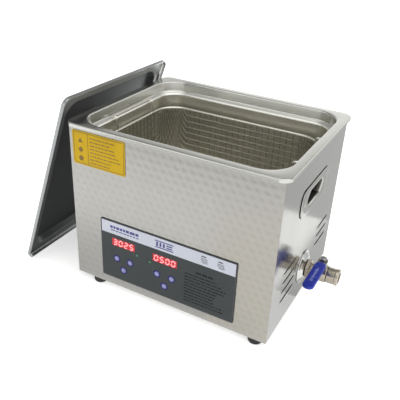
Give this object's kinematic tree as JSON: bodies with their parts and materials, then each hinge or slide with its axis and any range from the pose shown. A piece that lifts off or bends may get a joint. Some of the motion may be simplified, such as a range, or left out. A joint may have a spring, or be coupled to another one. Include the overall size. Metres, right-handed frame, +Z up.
{
  "type": "ultrasonic cleaner",
  "caption": "Bench-top ultrasonic cleaner: a steel case on feet with a heated tank, a hanging wire basket, a loose lid, a control panel with push buttons, and a drain valve at its side.",
  "frame": {"origin": "middle of the whole object's footprint, on the surface it stands on", "axes": "+X along the tank's length towards the drain valve, -Y towards the control panel at the front, +Z up"},
  "size_m": [0.4802, 0.274, 0.2953],
  "materials": {
    "embossed_steel": "fine embossed pattern, satin",
    "satin_steel": "smooth satin",
    "polished_steel": "polished",
    "tank_steel": "drawn, satin",
    "lid_steel": "satin",
    "wire": "bright wire",
    "black_rubber": "matte",
    "black_plastic": "moulded",
    "panel_film": "printed film",
    "display_lens": "tinted lens",
    "button_film": "domed film",
    "yellow_film": "printed label film",
    "blue_vinyl": "dipped vinyl",
    "circuit_board": "solder mask",
    "aluminium": "machined",
    "ceramic_stack": "matte",
    "transformer_iron": "varnished",
    "silicone": "matte",
    "brass": "machined"
  },
  "bodies": {
    "case": {"front_panel": "embossed_steel", "side_panel_left": "satin_steel", "side_panel_right": "satin_steel", "rear_panel": "satin_steel", "base_plate": "satin_steel", "foot_front_left": "black_rubber", "foot_front_right": "black_rubber", "foot_rear_left": "black_rubber", "foot_rear_right": "black_rubber", "carry_handle_left": "satin_steel", "carry_handle_right": "satin_steel", "tank": "tank_steel", "heater_front": "silicone", "heater_rear": "silicone", "thermostat": "aluminium", "transducer_horn_1": "aluminium", "transducer_stack_1": "ceramic_stack", "transducer_horn_2": "aluminium", "transducer_stack_2": "ceramic_stack", "transducer_horn_3": "aluminium", "transducer_stack_3": "ceramic_stack", "transducer_horn_4": "aluminium", "transducer_stack_4": "ceramic_stack", "control_panel": "panel_film", "timer_display": "display_lens", "heat_display": "display_lens", "control_board": "circuit_board", "front_label": "yellow_film", "drain_pipe": "satin_steel", "valve_escutcheon": "polished_steel", "valve_locknut": "brass", "valve_body": "satin_steel", "outlet_fitting": "satin_steel", "generator_board": "circuit_board", "heatsink": "aluminium", "transformer": "transformer_iron", "fan_frame": "black_plastic", "power_inlet": "black_plastic", "fuse_holder": "black_plastic", "switch_housing": "black_plastic"},
    "lid": {"lid": "lid_steel", "lid_handle": "black_plastic"},
    "basket": {"basket_rim": "wire", "basket_cage": "wire", "basket_handle_left": "wire", "basket_handle_right": "wire"},
    "valve": {"valve_ball": "polished_steel", "valve_stem": "satin_steel", "valve_lever": "satin_steel", "lever_sleeve": "blue_vinyl", "lever_nut": "satin_steel"},
    "fan": {"fan_rotor": "black_plastic"},
    "rocker": {"power_switch": "black_plastic"},
    "button_timer_up": {"button_timer_up": "button_film"},
    "button_timer_down": {"button_timer_down": "button_film"},
    "button_timer_start": {"button_timer_start": "button_film"},
    "button_heat_up": {"button_heat_up": "button_film"},
    "button_heat_down": {"button_heat_down": "button_film"},
    "button_heat_start": {"button_heat_start": "button_film"}
  },
  "joints": [
    {"name": "lid_lift", "type": "slide", "parent": "case", "child": "lid", "axis": [0, 0, 1], "range_m": [0, 0.36]},
    {"name": "basket_lift", "type": "slide", "parent": "case", "child": "basket", "axis": [0, 0, 1], "range_m": [0, 0.3]},
    {"name": "valve_turn", "type": "hinge", "parent": "case", "child": "valve", "pos_m": [0.2136, 0.0002, 0.063], "axis": [0, 0, 1], "range_deg": [0, 90]},
    {"name": "fan_spin", "type": "hinge", "parent": "case", "child": "fan", "pos_m": [-0.06489, 0.1174, 0.062], "axis": [0, 1, 0], "continuous": true},
    {"name": "rocker_tilt", "type": "hinge", "parent": "case", "child": "rocker", "pos_m": [0.0351, 0.1227, 0.058], "axis": [1, 0, 0], "range_deg": [0, 16]},
    {"name": "press_timer_up", "type": "slide", "parent": "case", "child": "button_timer_up", "axis": [0, 1, 0], "range_m": [0, 0.0005], "stiffness_N_per_m": 200, "springref_m": -0.002},
    {"name": "press_timer_down", "type": "slide", "parent": "case", "child": "button_timer_down", "axis": [0, 1, 0], "range_m": [0, 0.0005], "stiffness_N_per_m": 200, "springref_m": -0.002},
    {"name": "press_timer_start", "type": "slide", "parent": "case", "child": "button_timer_start", "axis": [0, 1, 0], "range_m": [0, 0.0005], "stiffness_N_per_m": 200, "springref_m": -0.002},
    {"name": "press_heat_up", "type": "slide", "parent": "case", "child": "button_heat_up", "axis": [0, 1, 0], "range_m": [0, 0.0005], "stiffness_N_per_m": 200, "springref_m": -0.002},
    {"name": "press_heat_down", "type": "slide", "parent": "case", "child": "button_heat_down", "axis": [0, 1, 0], "range_m": [0, 0.0005], "stiffness_N_per_m": 200, "springref_m": -0.002},
    {"name": "press_heat_start", "type": "slide", "parent": "case", "child": "button_heat_start", "axis": [0, 1, 0], "range_m": [0, 0.0005], "stiffness_N_per_m": 200, "springref_m": -0.002}
  ]
}
